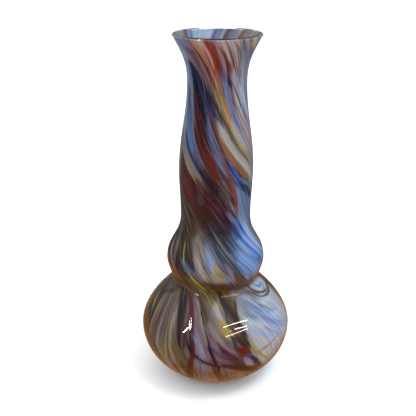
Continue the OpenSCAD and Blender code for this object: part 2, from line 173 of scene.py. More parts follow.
# The broad frost stroke is a painted reflection of a bright window on the inside of the mouth.
STROKES = strokes("""
# Broad fields of the neck and the mouth, then of the knop, then of the bulb.
frost 30 6 1 -88,310 -82,272 -80,240 -76,212
mist 16 5 0.9 -66,268 -68,246 -74,226 -76,196
blush 34 6 1 10,306 30,290 48,274 66,258 84,240
rosegrey 26 5 1 -74,310 -50,292 -28,276 -8,262 8,250
lavender 30 6 1 30,274 50,258 68,242 86,222
plum 34 5 1 -58,276 -40,256 -22,236 -2,214 18,194 34,176
slate 14 4 0.8 -62,262 -54,246 -44,230 -34,216 -20,202
stone 24 5 1 0,250 14,232 34,216 56,202 78,188
smoke 20 5 1 -78,226 -60,210 -44,200 -28,192 -12,184
sienna 40 6 1 -88,196 -66,176 -52,160 -38,142 -22,124
maroon 40 5 1 -62,204 -38,184 -18,170 4,154 24,138
oxblood 26 5 0.9 -8,204 8,188 20,172 30,154
steel 36 5 1 42,184 52,164 68,146 84,126
bistre 46 8 1 -86,132 -62,124 -44,116 -28,106 -14,96
smoke 24 6 1 -26,140 -16,126 -8,112 2,100
umber 18 5 0.9 0,148 12,136 24,122 36,108
sky 34 5 1 24,140 44,126 64,114 84,102
ochre 12 5 1 -100,97 -60,98 -20,97 20,96 60,97 96,98
taupe 60 8 1 -84,92 -66,76 -58,56 -54,36 -52,16
taupe 50 8 1 -40,92 -28,76 -22,56 -20,36 -20,14
mauve 46 8 0.9 -18,84 -6,66 4,50 10,34 12,18
cloud 66 6 1 50,86 54,74 57,60 60,42 62,22
tan 40 9 0.8 -60,26 -30,20 0,18 30,20 60,26
# The far side of the mouth, seen over the lip.
pearl 22 5 0.9 108,302 120,290 134,274
frost 26 4 0.9 198,303 207,290 220,274
mist 20 4 0.9 244,303 253,290 266,274
citron 4 1 0.9 246,300 253,290 262,278
rosewood 6 1.5 0.9 229,301 236,291 245,279
azure 5 1.5 0.9 219,301 226,290 235,279
azure 12 2.5 0.9 172,302 180,290 190,276
rosewood 3 1 0.9 180,302 188,290 198,277
pearl 2.5 0.8 0.9 168,301 174,292 182,281
steel 8 2 0.9 150,302 157,290 167,277
olive 4 1 0.9 159,301 166,291 175,280
bistre 2.5 1 0.9 163,301 170,290 179,279
brick 4.5 1 0.9 136,301 143,291 152,280
rosegrey 3 1 0.8 124,301 131,291 141,279
# The flare and the throat.
haze 11 3 0.9 -70,300 -63,286 -60,272 -58,262
mauve 9 3 0.9 -60,301 -52,291 -44,283 -34,274
indigo 6 1.5 0.9 -50,302 -42,292 -32,282 -23,273 -14,265
rosewood 7 2 0.8 -46,296 -38,287 -28,278 -16,268 -6,260
pearl 6 1.5 0.9 -30,302 -25,296 -17,287 -10,279
peach 9 2.5 1 -33,299 -25,290 -16,280 -7,270 2,260
garnet 1.8 0.7 0.8 -41,301 -31,289 -21,278 -11,268 -3,259 4,251
brick 11 2 1 -16,304 -10,292 -3,282 3,274 9,264
clay 6 1.5 1 0,276 8,265 15,254 23,243 31,234
rust 4 1.2 0.8 -8,298 -2,287 4,277 9,268
salmon 8 3 0.8 -4,302 8,290 18,281 26,274
rust 5 2 0.8 3,293 12,284 19,276 24,270
pearl 1.6 0.6 0.8 0,300 10,291 20,282
pearl 1.6 0.6 0.7 10,300 20,291 29,282 38,274
garnet 1.6 0.6 0.7 8,297 18,288 28,279 38,270
rosegrey 5 2 0.9 18,296 28,286 38,277 50,267
olive 1.8 0.6 0.9 19,298 30,292 38,285 45,278
slate 6 2 0.9 31,302 38,293 46,285 56,276 66,266
mauve 6 2 0.9 46,300 54,292 63,285 74,277
pearl 5 1.5 0.9 50,301 58,296 66,290
denim 7 2.5 0.8 50,288 58,278 66,268 76,256
pearl 9 3 0.7 72,284 76,272 80,258
# The dark wedge and what runs beside it.
steel 6 2 0.9 -60,280 -56,266 -50,252 -42,240 -32,229
midnight 10 2 1 -54,281 -46,273 -38,264 -28,256 -18,249 -6,241
ink 6 1.5 1 -50,279 -44,268 -40,257 -36,247 -30,238
ink 5 1.5 1 -46,277 -38,270 -30,262 -20,254 -10,247
navy 4 1.5 0.8 -36,268 -28,261 -20,252 -13,243 -8,234
maroon 9 2 0.9 -44,262 -40,248 -33,236 -24,225 -14,214
bistre 4 1.5 0.9 -14,256 -4,249 6,241 16,233 26,224 36,216
rosewood 4 1.5 0.7 -28,262 -20,251 -12,241 -4,231 5,221
rust 12 2 0.95 -34,243 -25,228 -15,213 -5,200 5,188
rust 6 2 0.7 -24,222 -14,209 -5,198 3,190
slate 4 1.5 0.9 -26,250 -20,238 -13,227 -5,217 4,207 12,199
indigo 3 1 0.8 -20,240 -14,230 -7,221 1,212
garnet 4 1.5 0.8 -13,247 -6,237 1,226 9,216
mauve 4 1.5 0.8 0,218 8,209 16,200 24,191
steel 3 1.2 0.8 -6,216 2,207 10,199 18,191
# The second wedge, and the pale and yellow bands to the right of the neck.
slate 5 1.5 0.9 8,278 13,268 18,258 25,248 33,238
clay 6 2 0.7 -6,266 3,256 12,246 22,236 32,226
gold 2.2 1 0.9 -2,262 8,251 17,241 27,231 37,221 48,212 60,205 74,197
peach 4 1.5 0.7 12,255 21,245 31,234 42,225 54,217
oxblood 4 1.2 0.9 19,273 23,266 28,258 34,249 41,241
rosewood 3 1.5 0.7 14,280 19,274 24,268
blush 8 2 0.9 26,262 34,252 44,242 56,232 70,222 84,214
mauve 1.8 0.7 0.7 30,256 38,247 48,238 60,229
mauve 1.6 0.6 0.6 38,256 50,246 62,236 76,226
rosegrey 5 2 0.8 34,270 46,260 58,251 70,242
frost 5 2 0.7 46,262 58,252 70,243 82,234
denim 4 2 0.7 60,266 68,255 77,244 86,233
pearl 7 2.5 0.8 7,232 13,226 20,219 31,210 43,202 56,194 70,186 84,178
taupe 3 1.2 0.9 8,241 17,232 28,221 40,212 54,204 68,196
copper 5.5 1.5 0.95 -4,229 5,221 15,213 26,205 37,198 48,192 62,187
umber 2.5 1 0.8 24,200 36,194 48,188 60,184 74,178
midnight 5 2 0.8 34,188 46,182 58,177 70,171 82,164
# The blue line across the neck, with the grey patch under it.
denim 9 3 0.9 -66,244 -57,232 -48,222 -40,214
navy 4 1.2 1 -64,228 -55,220 -45,212 -35,205 -26,198
stone 4 1.5 0.6 -62,214 -48,204 -34,195 -22,189
olive 3 1.5 0.6 -56,206 -44,198 -32,191
slate 1.5 0.6 0.8 -60,220 -48,210 -36,201 -24,193
rust 5 2 0.7 -58,200 -44,190 -32,183 -18,175
brick 5 2 0.6 -14,186 -4,177 6,169 16,160
midnight 3 0.8 1 -24,196 -14,189 -3,182 8,174 19,166 30,158 38,152
midnight 1.5 0.6 0.9 -14,181 -2,172 10,163 22,154 33,146
garnet 2 0.8 0.7 -34,182 -22,174 -10,166 2,158 14,149
clay 3 1 0.8 12,202 20,193 28,183 33,172 36,160
taupe 5 2 0.7 4,196 13,186 20,177 27,167
# Olive and brown streaks at the left of the lower neck.
moss 4 1.5 0.9 -72,178 -64,169 -54,159 -44,149 -34,140
umber 6 2 0.8 -74,168 -62,156 -50,145 -38,133
bistre 3 1 0.8 -64,152 -52,142 -40,131 -30,121
sienna 4 1.5 0.8 -46,164 -36,154 -26,144 -16,134
taupe 4 1.5 0.8 -32,152 -22,142 -13,132 -5,122
bistre 2.5 1 0.8 -12,156 -3,146 6,137 14,128
slate 5 2 0.8 -4,150 6,141 16,132 26,123
# The pale blue field with its cobalt lines.
haze 12 3 0.9 42,150 52,140 62,131 74,122
frost 6 2 0.8 50,144 60,134 70,126 80,118
royal 3.5 0.9 1 34,155 43,147 53,138 63,129 74,119
royal 2.5 0.9 0.8 40,140 50,131 60,122 70,113
cobalt 2 0.8 0.8 30,140 40,130 50,121 60,112
slate 1.4 0.6 0.8 40,178 50,166 61,155 73,145
slate 1.4 0.6 0.8 46,182 56,171 67,160 79,150
denim 5 2 0.8 52,176 62,164 72,152 82,141
# The knop.
tan 4 1.5 0.7 -78,128 -68,120 -58,112 -50,104
amber 5 2 0.8 -78,110 -66,104 -54,100 -42,97
plum 4 1.5 0.8 -54,118 -46,108 -38,100 -32,94
denim 6 2.5 0.8 -44,120 -36,116 -28,114 -22,110
citron 3 1.2 0.8 -34,114 -27,106 -20,100 -12,95
olive 2 0.7 0.9 -26,136 -19,126 -10,114 -1,103
stone 8 3 0.8 -22,130 -16,120 -9,110 -3,103
haze 6 2.5 0.8 -12,134 -6,124 0,114 4,106
teal 4 1.5 0.8 0,132 7,126 14,121
cobalt 4 1.5 0.9 8,130 16,123 24,117
gold 7 2 0.9 -2,120 3,112 8,105
rosewood 2.5 1 0.8 2,128 10,118 18,108 26,99
chestnut 2.5 1 0.8 8,128 17,117 26,106 34,98
pearl 3 1.5 0.8 12,122 18,114 24,108
ochre 8 2 1 22,112 30,104 38,98
navy 1.8 0.7 0.9 16,122 26,113 36,104 46,97
umber 6 2.5 0.8 -14,104 0,100 14,101 28,99
# The bulb's left half.
olive 5 2 0.8 -88,82 -78,70 -72,56 -66,40
bistre 5 2 0.9 -84,88 -76,80 -66,84 -58,89
citron 2.5 0.8 0.9 -80,76 -76,72 -73,68
moss 2 0.8 0.9 -70,80 -66,68 -65,56 -64,44
navy 3 1.2 0.8 -80,69 -76,66 -73,62
mauve 3 1.2 0.7 -64,84 -60,70 -58,56 -57,42
smoke 4 1.5 0.8 -56,84 -52,70 -50,56 -48,40 -46,28
olive 2 0.8 0.7 -50,84 -46,70 -44,56 -42,42
slate 2.5 1 0.6 -54,80 -49,66 -46,52
gold 2.5 1 0.7 -44,60 -42,46 -40,34 -38,24
stone 4 2 0.5 -42,84 -39,70 -36,54 -34,40
sienna 5 2 0.7 -38,48 -34,36 -32,24
olive 2.5 1 0.8 -36,72 -31,58 -27,44 -25,30
oxblood 7 1.8 1 -52,91 -42,88 -35,80 -31,70 -28,58
ink 4 1.5 0.9 -46,90 -39,86 -34,78 -32,68
plum 3 1.2 0.9 -28,70 -25,62 -24,52
rust 4 1 1 -36,90 -29,86 -23,78 -20,68 -18,56
crimson 4.5 0.9 1 -22,76 -19,64 -17,52 -18,38 -21,22 -23,12
taupe 5 2 0.8 -22,90 -14,80 -9,68 -6,56
umber 4 1.5 0.8 -30,60 -24,46 -21,32 -20,18
olive 4 1.5 0.9 -32,104 -22,98 -13,92 -7,87 -3,82
olive 3 1.2 0.8 -24,94 -15,88 -8,80 -4,72
# The bulb's middle.
plum 2.6 0.8 1 -17,86 -12,76 -7,64 -3,52 0,42 3,32 8,18
rosegrey 5 2 0.8 -14,64 -11,54 -10,44 -10,32
slate 1.4 0.7 0.8 -12,48 -11,36 -12,24 -13,16
steel 4 2 0.6 -18,70 -14,60 -10,52
rosewood 7 2.5 0.8 -6,68 4,60 12,52 20,46
denim 3 1.2 0.7 -2,60 6,54 13,48 20,44
crimson 5 2 0.6 4,54 12,46 20,42 26,40
rust 3 1.2 0.8 -4,46 0,34 4,24 6,12
tan 5 2 0.7 -8,34 -4,24 -2,14
bistre 2.2 0.9 0.9 -27,71 -22,58 -14,48 -4,41 8,38 20,40
pearl 7 2.5 0.9 -2,84 4,78 9,72
taupe 6 2 0.8 -6,78 0,68 8,60 16,54
chestnut 3.5 1 1 -2,98 5,92 12,86 19,77 23,68 26,60
chestnut 3 1 0.9 32,96 26,90 21,82 20,74 23,64
umber 6 2 0.8 14,92 18,86 19,80
gold 7 1.5 1 2,76 8,68 15,62
amber 4 1.2 0.9 14,72 17,66 21,62
umber 7 2 0.9 18,66 22,58 25,50
ember 7 2 0.9 17,54 22,49 27,44
teal 2.4 0.8 1 9,86 11,74 13,64 17,53 22,42
maroon 7 2 0.9 12,46 20,40 28,34 36,28
pearl 5 2 0.8 22,43 26,38 30,34
navy 4 1 1 23,50 28,42 33,35 39,27
brick 3 1.5 0.7 26,36 32,30 38,24
# The bulb's right half: cloudy white with blue, and the looped thread.
pearl 16 5 0.8 30,80 36,66 42,52 50,40
haze 9 3 0.8 32,88 42,80 54,72 66,64
haze 8 3 0.7 44,70 56,62 68,56 80,52
azure 1.6 0.7 0.8 32,84 42,74 53,64 66,54
azure 1.4 0.6 0.7 30,78 40,68 50,58 60,50
slate 1.4 0.6 0.7 36,90 46,82 58,73 72,66
cloud 7 3 0.8 46,86 58,78 72,74
steel 6 2.5 0.6 28,78 36,74 44,74
brick 1.2 0.6 0.7 26,46 36,48 46,49 56,53
citron 2.2 0.7 1 22,66 27,56 34,46 42,36 52,26
blush 22 8 0.8 48,40 60,34 72,34
ochre 4 2 0.6 44,88 50,82 52,76
frost 12 2 0.9 64,88 76,86 88,87
navy 1.8 0.7 0.8 60,85 70,83 80,86
""")

# Finer strokes, which lie over the threads as well.
# Painted shade and painted warm reflection: the colour is made darker and warmer at the waist, at the left
# edge and under the bulb.
# These five thin pearl lines are painted glints off fine ripples in the surface at the left of the neck.
DETAILS = strokes("""
# Darker fields of the neck, the knop and the waist.
claret 9 3 0.9 -38,188 -26,178 -13,168 0,158
claret 6 2 0.8 -14,192 -4,182 6,173 16,164
ember 3 1.2 0.7 -44,188 -32,179 -20,170 -8,161
loam 16 4 0.9 -86,180 -76,168 -66,156 -56,144
loam 9 3 0.8 -64,178 -53,166 -43,154 -34,143
rust 5 2 0.7 -80,160 -72,150 -65,141
olive 2 0.8 0.8 -70,176 -60,165 -50,154 -41,144
citron 1.2 0.5 0.8 -54,142 -49,134 -44,126 -39,117 -35,110
storm 22 4 0.8 -8,150 4,140 14,131 24,122
storm 10 3 0.6 2,128 14,118 26,110
umber 9 3 0.8 14,98 30,95 48,95 66,97
storm 5 2 0.8 40,90 50,87 60,84
storm 7 2 0.8 26,152 34,143 42,135
midnight 6 2 0.9 38,186 50,180 62,175 74,168
smoke 14 4 0.6 -52,60 -46,48 -42,36 -40,24
# The flare and the top of the neck.
cobalt 2.5 1 0.7 -53,301 -49,294 -44,286
garnet 3 1.5 0.6 -62,284 -59,274 -57,264
ink 5 1.2 0.95 -52,281 -46,270 -42,258 -38,246 -34,236
aubergine 4 1.2 0.9 -46,272 -38,262 -30,252 -24,242 -18,232
steel 2.5 1 0.6 -56,268 -52,254 -46,242 -38,230
indigo 2 0.8 0.7 -36,272 -27,263 -18,254 -11,245
slate 2 0.8 0.6 -30,258 -23,247 -16,237 -9,228
maroon 3 1 0.9 -44,264 -40,252 -36,242 -31,232
rosegrey 3 1.2 0.7 0,292 8,283 14,276
oxblood 2 0.8 0.7 10,290 16,281 21,273
rosewood 1.4 0.6 0.7 16,294 24,285 32,276 41,268
rosewood 1.4 0.6 0.6 26,293 34,284 43,275 53,267
garnet 1.2 0.5 0.6 2,299 9,290 15,282
clay 1.6 0.6 0.6 -30,296 -22,286 -13,276 -5,267
taupe 1.4 0.6 0.7 -24,288 -16,278 -8,269 0,259 7,250
straw 1.4 0.6 0.7 -8,264 0,254 8,244 17,235
plum 3 1.2 0.8 -10,257 -2,249 6,242 14,234
haze 1.4 0.6 0.7 14,266 18,257 25,247 34,236
ink 1.5 0.6 0.8 17,272 21,268 26,263 32,257
pearl 1.6 0.7 0.6 32,248 42,238 54,228 66,219
mauve 1.2 0.5 0.7 28,246 38,236 49,227 62,217
denim 1.4 0.6 0.7 54,248 64,238 75,228
violet 5 1.2 0.95 -51,280 -45,271 -40,261 -36,250 -32,241
navy 3.5 1.2 0.9 -46,275 -36,267 -27,259 -18,251 -9,244 0,237
violet 2.5 1 0.8 -40,272 -30,264 -21,256 -12,249
garnet 3.5 1.2 0.9 -46,260 -42,250 -36,240 -30,231
violet 3 1.2 0.8 -30,254 -25,243 -19,233 -12,223
royal 1 0.4 0.9 15,267 20,256 27,245 36,234 47,223 60,212
frost 3 1.2 0.7 -74,262 -73,246 -75,230
olive 1.2 0.6 0.5 -70,256 -69,242 -72,228
pearl 1 0.5 0.8 -84,214 -76,212 -68,208
pearl 1 0.5 0.8 -84,210 -76,208 -67,203
pearl 1 0.5 0.8 -84,206 -75,203 -66,198
pearl 1 0.5 0.8 -84,201 -75,198 -67,193
pearl 1 0.5 0.7 -84,196 -76,193 -69,188
pearl 1.4 0.6 0.8 -22,302 -17,294 -11,285 -5,276
pearl 1.2 0.5 0.8 3,301 10,294 17,286 24,279
pearl 1.2 0.5 0.8 14,301 22,293 30,285 39,276
garnet 1 0.4 0.8 9,301 16,293 23,285 31,277
garnet 1 0.4 0.7 24,290 32,281 41,271 51,261
pearl 1.2 0.5 0.7 30,262 39,252 49,242 61,232
garnet 1 0.4 0.7 26,254 34,245 44,235 56,225
pearl 1.2 0.5 0.6 -66,300 -59,290 -55,280
ink 1.2 0.5 0.9 -40,302 -31,291 -22,281 -12,271 -3,261
# The middle of the neck.
garnet 5 1.2 0.8 -42,246 -36,235 -28,224 -19,213 -9,203
ember 3 1.2 0.8 -22,214 -13,205 -4,196 4,188
wine 2 0.8 0.6 -34,228 -26,218 -17,208 -8,199
smoke 9 2.5 0.8 -62,214 -50,205 -37,197 -25,190
steel 2 0.8 0.6 -58,217 -46,207 -34,198 -24,191
midnight 2.6 0.7 1 -32,202 -19,193 -6,185 7,176 19,167 30,158
oxblood 3 1 0.9 -40,244 -34,234 -27,224 -20,214
aubergine 2.5 1 0.8 -30,240 -24,231 -17,221 -10,211
rosegrey 1.6 0.7 0.7 -48,240 -43,229 -36,219 -28,210 -19,201
slate 2 0.8 0.7 -42,224 -34,215 -26,207 -17,199
rust 3 1.2 0.7 -14,212 -7,203 1,194 8,186
slate 2.5 1 0.8 -18,238 -12,228 -5,219 3,210 11,201
denim 1.4 0.6 0.8 -15,234 -8,224 0,214 8,205
maroon 2 0.8 0.8 -10,238 -3,228 5,218 13,209 21,201
rosewood 3 1 0.8 10,208 17,199 24,190 30,181
umber 3 1.2 0.8 2,198 9,189 16,181 23,172
slate 1.5 0.6 0.7 0,202 7,193 15,184 22,175
midnight 2 0.8 0.9 14,207 22,200 31,193 40,187 50,181
royal 2 0.8 0.6 20,204 28,197 37,190 46,184
copper 1.6 0.6 0.8 18,216 29,207 41,199 54,192
pearl 1.4 0.6 0.5 8,228 18,218 29,209 42,201 56,194
stone 2 1 0.6 14,228 25,217 37,208 50,200
straw 1.5 0.6 0.8 26,228 38,218 51,209 64,202
rosegrey 1.5 0.6 0.7 34,226 46,217 59,209 72,202
navy 2 0.6 0.9 -62,224 -54,217 -45,211 -35,204 -26,197
denim 4 1.5 0.7 -60,232 -54,224 -46,216 -39,210
smoke 3 1.2 0.8 -60,216 -48,206 -36,197 -25,190
straw 1.5 0.6 0.6 -56,210 -44,200 -33,192 -24,186
pearl 1.2 0.6 0.5 -64,212 -52,202 -40,193 -30,186
clay 4 2 0.6 -26,190 -20,185 -14,180
umber 3 1.2 0.8 -72,204 -60,194 -48,184 -36,174
rust 3 1.2 0.6 -66,196 -54,186 -42,177 -30,168
oxblood 5 2 0.8 -38,182 -26,173 -14,164 -2,155
oxblood 4 1.5 0.8 -16,188 -6,179 4,171 14,162
chestnut 3 1.2 0.8 -30,190 -20,182 -10,173 0,165
rosewood 2 0.8 0.7 6,180 15,171 24,162 32,154
plum 5 2 0.8 -6,166 6,156 18,146 29,137
midnight 2 0.7 0.9 -10,177 2,167 14,158 26,148 37,139
clay 1.5 0.7 0.7 28,178 32,170 35,162
maroon 2 0.8 0.8 18,186 24,176 29,167
# The lower neck and the knop.
bistre 5 2 0.7 -70,172 -60,161 -51,150 -42,140
moss 2 0.8 0.8 -80,172 -71,163 -62,153 -54,143
pitch 4 1.5 0.9 -60,150 -53,142 -46,133
clay 2 1 0.6 -66,170 -56,160 -47,150 -38,141
moss 2 0.8 0.8 -54,145 -46,135 -38,125 -31,115
bistre 6 2 0.9 -46,142 -38,132 -31,122 -25,113
smoke 4 1.5 0.8 -72,142 -66,133 -60,124 -55,115
stone 3 1.2 0.7 -78,132 -72,124 -66,116
umber 3 1.2 0.8 -56,134 -50,124 -44,114 -39,104
bistre 7 2.5 0.9 -18,154 -6,145 6,137 17,129
plum 4 1.5 0.9 -6,158 6,148 18,139 29,130
midnight 5 1.8 0.9 4,146 13,138 22,131 30,125
slate 2 0.8 0.7 -10,150 1,141 12,132 22,123
smoke 2 0.8 0.7 -2,144 8,135 18,126 27,118
cobalt 2 0.8 0.9 26,150 34,142 43,134 52,126
navy 1.5 0.6 0.9 22,142 32,133 42,124 52,115
denim 2.5 1 0.7 16,138 26,129 37,120 47,112
cobalt 2 0.8 0.8 20,130 30,121 40,113 50,105
haze 4 2 0.7 36,136 43,129 50,122
haze 3 1.2 0.7 50,154 59,145 68,136 77,127
denim 1.4 0.6 0.6 44,170 54,160 65,150 76,140
cobalt 5 2 0.7 58,118 66,113 74,108
stone 5 2 0.7 -28,132 -22,122 -17,112
pearl 2 1 0.5 -24,128 -18,118 -12,108
denim 3 1.2 0.7 -14,128 -9,120 -5,112
cobalt 3 1.2 0.6 -42,118 -35,112 -29,107
teal 4 1.5 0.9 0,131 6,127 12,122
garnet 1.5 0.6 0.8 0,124 9,114 18,104 26,96
umber 2 0.8 0.8 -10,108 0,100 9,92
rosewood 4 1.5 0.7 -56,110 -48,102 -42,95
sienna 8 3 0.8 -84,108 -72,103 -60,100
amber 4 2 0.7 -84,103 -72,99 -60,96
taupe 6 2.5 0.7 44,102 58,98 74,97
# The bulb's left half.
oxblood 3 1 0.9 -64,90 -54,91 -45,89 -38,84
ink 3 1.2 0.9 -48,88 -41,83 -36,76 -33,68
garnet 2 0.8 0.9 -48,91 -37,89 -29,85 -24,78 -21,70
olive 4 1.5 0.9 -36,106 -28,99 -18,93 -9,88 -4,82
straw 1.5 0.6 0.7 -26,99 -16,93 -8,88 -4,83
umber 3 1.2 0.9 -24,92 -16,86 -10,79 -6,70
stone 2 1 0.8 -28,90 -19,84 -13,76 -9,66
moss 2 0.8 0.9 -84,84 -80,72 -77,60 -76,48
bistre 2.5 1 0.9 -80,86 -75,74 -71,60 -70,46
brick 2 0.8 0.6 -72,74 -69,62 -67,50
pearl 1.6 0.7 0.5 -70,84 -65,72 -62,60 -61,46
garnet 1.6 0.7 0.8 -66,84 -61,72 -58,60 -57,46
bistre 1.6 0.7 0.9 -62,84 -57,72 -54,60 -53,44 -52,32
pearl 2 0.8 0.5 -58,84 -53,72 -50,58 -49,42
slate 2 0.8 0.8 -54,84 -49,70 -47,56 -46,42
olive 2 0.8 0.9 -50,83 -45,68 -43,54 -42,40 -42,28
straw 1.4 0.6 0.8 -46,80 -42,66 -40,52 -40,38 -40,26
umber 2 0.8 0.7 -45,78 -41,64 -38,50 -36,36
stone 2 0.8 0.5 -42,76 -38,62 -35,48 -33,34
rosegrey 2.5 1 0.7 -34,50 -32,38 -31,26
taupe 3.5 1.2 0.8 -36,66 -31,56 -26,46 -23,36 -22,26
aubergine 3 1.2 0.9 -33,72 -30,62 -27,53
olive 1.5 0.6 0.8 -40,62 -35,52 -30,43 -27,32
rust 5 2.5 0.7 -78,60 -70,48 -64,36
umber 5 2 0.8 -62,42 -56,32 -50,24
citron 1.8 0.7 0.9 -83,78 -78,74 -74,70 -72,64
midnight 3 1 0.8 -78,70 -74,66 -72,61
moss 1.6 0.7 0.8 -78,84 -72,76 -68,66 -67,54
wine 2.5 1 0.6 -62,70 -59,58 -58,46
oxblood 5 1.5 0.9 -19,44 -20,32 -22,22 -23,12
crimson 2 0.7 0.9 -18,58 -17,48 -18,38 -20,28
midnight 1.2 0.5 0.9 -26,76 -24,66 -20,56 -14,48 -6,42 4,39
chestnut 2 0.8 0.9 -21,34 -22,24 -22,14
maroon 2 0.8 0.9 -23,76 -21,66 -19,56 -18,46
straw 1.2 0.5 0.8 -68,86 -62,74 -59,62 -58,48
moss 1.6 0.6 0.8 -60,86 -54,74 -51,60 -50,46
rosewood 1.8 0.7 0.8 -56,86 -51,74 -48,60 -47,44
olive 1.6 0.6 0.9 -53,86 -47,72 -45,58 -44,44
mauve 2 0.8 0.8 -48,84 -43,70 -40,56 -38,42 -37,28
bistre 1.4 0.5 0.8 -74,84 -69,72 -66,60 -65,46
straw 1.2 0.5 0.8 -42,74 -38,60 -35,46 -33,32
olive 2 0.8 0.8 -38,66 -33,54 -29,42 -27,28
garnet 1.4 0.6 0.8 -34,88 -28,82 -25,74 -23,64
umber 1.4 0.6 0.8 -20,88 -14,80 -10,70 -7,58
chestnut 1.2 0.5 0.8 -33,40 -31,28 -31,15
umber 1.2 0.5 0.8 -15,38 -15,26 -16,14
chestnut 1.2 0.5 0.8 12,34 17,24 20,14
umber 1.4 0.6 0.7 20,30 26,22 30,14
stone 1.6 0.7 0.7 -40,34 -38,24 -37,15
stone 2 0.8 0.6 -8,32 -7,22 -7,14
# The bulb's middle.
steel 2 1 0.6 -20,66 -15,60 -10,54 -6,48
stone 3 1.5 0.7 -14,76 -9,68 -6,58
midnight 3 1.5 0.7 -24,58 -16,50 -8,43 2,39
steel 4 2 0.6 -15,44 -12,38 -8,34
ink 1.3 0.5 0.9 -16,84 -11,74 -6,63 -3,52 0,42 3,30 8,16
ember 2 0.8 0.7 -4,46 -1,34 2,24 4,14
slate 1.4 0.6 0.9 -12,50 -11,38 -11,26 -12,18
wine 7 2.5 0.8 0,58 8,50 16,44 22,40
mauve 3 1.5 0.7 4,62 10,55 17,49
maroon 3 1.2 0.8 -2,56 4,49 12,43 20,38
plum 5 2 0.7 2,44 10,39 18,36 26,32
slate 2.5 1 0.7 -4,62 3,55 11,48 19,44
rosegrey 2 0.8 0.8 0,64 7,57 14,51
slate 1.5 0.7 0.7 -2,54 6,47 14,42
stone 4 2 0.7 -6,74 0,66 6,60
pearl 4 1.5 0.9 0,86 5,80 9,74
taupe 3 1.2 0.8 4,84 8,78 11,70
citron 3 1.2 0.9 7,76 10,69 14,64
ochre 4 1.5 0.9 13,74 16,68 19,62
amber 2.5 1 0.9 14,71 17,67 20,63
ochre 6 1.5 0.7 12,94 17,87 20,79
olive 3 1.2 0.7 16,93 19,87 20,81
oxblood 1.8 0.5 1 -4,100 4,94 11,86 17,77 21,69 25,61
oxblood 1.6 0.5 1 30,94 24,87 21,79 22,70 24,62
chestnut 5 1.5 0.9 14,64 19,60 24,55
pitch 2.5 1 0.8 20,66 24,60 27,53
ember 6 1.5 0.9 15,55 21,51 27,48
maroon 5 2 0.9 6,40 18,35 30,29 40,22
rust 3 1.2 0.7 20,34 30,28 38,22
rosegrey 4 1.5 0.9 21,45 25,41 29,36
cobalt 2 0.8 0.8 23,48 26,46 29,42
ink 2.2 0.8 0.9 27,45 31,40 35,33 38,27
plum 2 0.8 0.8 28,46 32,40 36,33 40,27
rust 4 2 0.7 36,34 40,27 44,20
bistre 4 1.5 0.8 -26,40 -25,28 -25,14
chestnut 2 0.8 0.8 4,42 8,30 11,18
claret 6 2 0.8 6,40 18,34 28,28 36,22
claret 4 1.5 0.8 -4,66 4,56 12,48 18,43
umber 5 2 0.7 -52,46 -48,34 -45,24
claret 3 1.2 0.6 -64,58 -60,46 -57,34
umber 6 2 0.6 -34,34 -30,24 -28,13
taupe 8 3 0.7 4,30 10,20 14,12
rosegrey 6 2 0.6 -12,34 -8,24 -6,13
umber 6 2 0.6 22,28 28,20 34,13
stone 5 2 0.5 -28,32 -26,20
tan 8 3 0.7 4,32 14,28 26,22
# The bulb's right half.
haze 4 1.5 0.8 25,86 33,80 42,74 52,70
steel 3 1.2 0.8 32,86 41,80 48,74
frost 5 2 0.9 28,74 36,69 44,65
frost 6 2 0.9 50,82 58,79 68,77
frost 6 2 0.8 56,70 64,67 74,66
haze 4 1.5 0.8 26,68 34,63 43,58 52,54
haze 3 1.2 0.8 48,76 58,71 70,68
denim 1.6 0.8 0.6 34,84 44,74 55,65 66,58
haze 1.4 0.6 0.9 36,64 44,54 52,44 60,36
haze 1.4 0.6 0.9 48,66 57,56 66,48
smoke 3 1.5 0.6 42,88 50,84 56,80
rosegrey 1.5 0.7 0.7 28,46 38,47 48,50 58,54
pitch 2 0.7 0.9 50,90 58,86 67,83 78,82 90,83
garnet 1.8 0.7 0.9 44,95 50,91 57,87
cobalt 3 1.2 0.7 62,90 70,87 78,87
# Darker and warmer glass at the waist, at the left edge and under the bulb.
umber 5 2.5 0.4 -76,89 -50,89 -24,89 4,89
taupe 4 2 0.8 12,90 26,90 40,89 56,88
smoke 9 4 0.7 24,92 28,86 33,78
umber 8 4 0.7 -86,106 -72,103 -56,101
loam 8 4 0.7 -86,156 -77,144 -70,134
taupe 6 2.5 0.6 -34,134 -26,130 -18,124
umber 12 5 0.45 -28,32 -10,29 6,28 20,30
taupe 6 3 0.55 0,114 8,110 16,106
smoke 4 2 0.7 -3,82 0,75 3,66
umber 8 4 0.6 -82,60 -75,46 -69,33
# Paler glass at the right of the neck, and red at its left.
pearl 5 2 0.45 26,236 37,226 50,217 63,209
pearl 4 2 0.4 40,289 50,279 61,269
frost 6 3 0.4 52,146 62,136 72,126
brick 5 2.5 0.5 -62,190 -52,180 -43,171 -35,162
pearl 5 2.5 0.4 30,230 42,220 54,211
pearl 4 2 0.4 -62,300 -50,296 -40,292
# Paler blues of the knop, and the front of the bulb.
haze 10 4 0.45 28,127 44,118 60,110
frost 7 3 0.35 48,138 62,127 78,116
umber 6 3 0.55 -24,36 -20,28 -17,18
rosegrey 4 2 0.45 -3,67 0,59 4,51
taupe 4 2 0.5 6,34 12,28 16,20
""")

# The glasses of the finest streaks all over, and how strongly each shows.
FINE = [("ink", 1), ("pearl", 0.8), ("maroon", 0.9), ("denim", 0.8), ("olive", 0.8)]

# Copies of the strokes lie under them, further round and lower, with some of the glasses
# changed. They are what shows on the far half.
BACK_TURN, BACK_DROP = 172, 2
BACK_GLASS = {
    "brick": "cobalt", "rust": "maroon", "oxblood": "navy", "gold": "frost", "midnight": "oxblood",
    "royal": "olive", "crimson": "teal", "violet": "garnet", "navy": "chestnut", "cloud": "stone",
    "sky": "rosegrey", "haze": "pearl", "steel": "mauve", "citron": "denim"}


